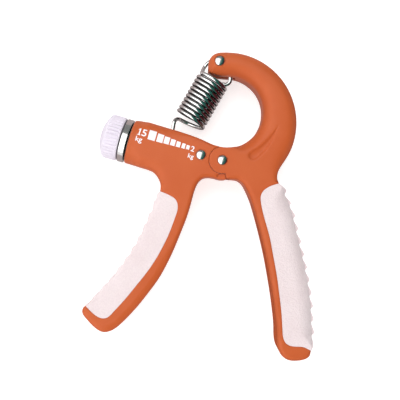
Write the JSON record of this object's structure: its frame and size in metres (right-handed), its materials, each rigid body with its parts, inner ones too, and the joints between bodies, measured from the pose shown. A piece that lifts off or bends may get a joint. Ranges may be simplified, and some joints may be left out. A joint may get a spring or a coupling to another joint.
{
  "type": "adjustable hand grip strengthener",
  "caption": "Hand gripper: two pivoting handles with soft grips, a hooked arm with an extension spring, and a knob and screw that move the spring's lower end to set the force.",
  "frame": {"origin": "on the hinge axis of the two arms, in the plane of the back faces that it lies on", "axes": "+X along the adjusting screw from the knob towards the hinge, +Y towards the hook of the moving arm, +Z out of the face with the scale"},
  "size_m": [0.1287, 0.1486, 0.022],
  "materials": {
    "orange_plastic": "satin moulded",
    "soft_grip": "matte, fine texture",
    "knob_plastic": "satin",
    "nylon": "natural",
    "polished_ring": "polished",
    "bright_steel": "polished",
    "spring_steel": "nickel plated wire",
    "plated_steel": "zinc plated",
    "brass": "turned"
  },
  "bodies": {
    "fixed_arm": {"housing_arm": "orange_plastic", "palm_grip": "soft_grip", "pivot_bush": "brass", "front_thrust_washer": "nylon", "rear_thrust_washer": "nylon", "screw_retaining_pin": "bright_steel", "barrel_bush": "nylon", "collar_ring": "polished_ring", "knob_thrust_washer": "nylon"},
    "moving_arm": {"hook_arm": "orange_plastic", "finger_grip": "soft_grip", "pivot_pin": "bright_steel"},
    "spring_anchor": {"spring_anchor_pin": "bright_steel", "spring_top_loop": "spring_steel"},
    "spring_top": {"spring_upper_turns": "spring_steel"},
    "spring_middle": {"spring_coils": "spring_steel"},
    "spring_foot": {"spring_bottom_hook": "spring_steel"},
    "slider_block": {"spring_slider": "nylon", "slider_nut": "brass", "slider_cross_pin": "bright_steel"},
    "knob_and_screw": {"adjusting_screw": "plated_steel", "knob": "knob_plastic", "knob_insert": "brass", "knob_fixing_screw": "plated_steel", "knob_cap": "knob_plastic"}
  },
  "joints": [
    {"name": "squeeze", "type": "hinge", "parent": "fixed_arm", "child": "moving_arm", "pos_m": [0, 0, 0.011], "axis": [0, 0, -1], "range_deg": [0, 26], "stiffness_Nm_per_rad": 6, "springref_deg": -17.19},
    {"name": "knob_turn", "type": "hinge", "parent": "fixed_arm", "child": "knob_and_screw", "pos_m": [-0.05, -0.0038, 0.011], "axis": [1, 0, 0], "range_deg": [-1800.5, 1620.5]},
    {"name": "slider_travel", "type": "slide", "parent": "fixed_arm", "child": "slider_block", "axis": [1, 0, 0], "range_m": [-0.01, 0.009]},
    {"name": "spring_swing", "type": "hinge", "parent": "moving_arm", "child": "spring_anchor", "pos_m": [-0.0148, 0.0455, 0.011], "axis": [0, 0, -1], "range_deg": [-11.5, 12.7]},
    {"name": "spring_lag", "type": "hinge", "parent": "spring_anchor", "child": "spring_top", "pos_m": [-0.0148, 0.0455, 0.011], "axis": [0, 0, -1], "range_deg": [-4.1, 0], "deforming": ["spring_upper_turns"]},
    {"name": "spring_reach", "type": "slide", "parent": "spring_top", "child": "spring_middle", "axis": [-0.2453, -0.9695, 0], "range_m": [-0.0023, 0.0026], "deforming": ["spring_coils"]},
    {"name": "spring_stretch", "type": "slide", "parent": "spring_middle", "child": "spring_foot", "axis": [-0.2453, -0.9695, 0], "range_m": [0, 0.0111], "deforming": ["spring_bottom_hook"]}
  ],
  "couplings": [
    {"joint": "knob_turn", "follows": "slider_travel", "rad_per_m": 3141.6},
    {"joint": "spring_swing", "follows": "slider_travel", "rad_per_m": -22},
    {"joint": "spring_lag", "follows": "squeeze", "ratio": -0.154},
    {"joint": "spring_reach", "follows": "slider_travel", "ratio": -0.25},
    {"joint": "spring_stretch", "follows": "squeeze", "m_per_rad": 0.024307}
  ]
}
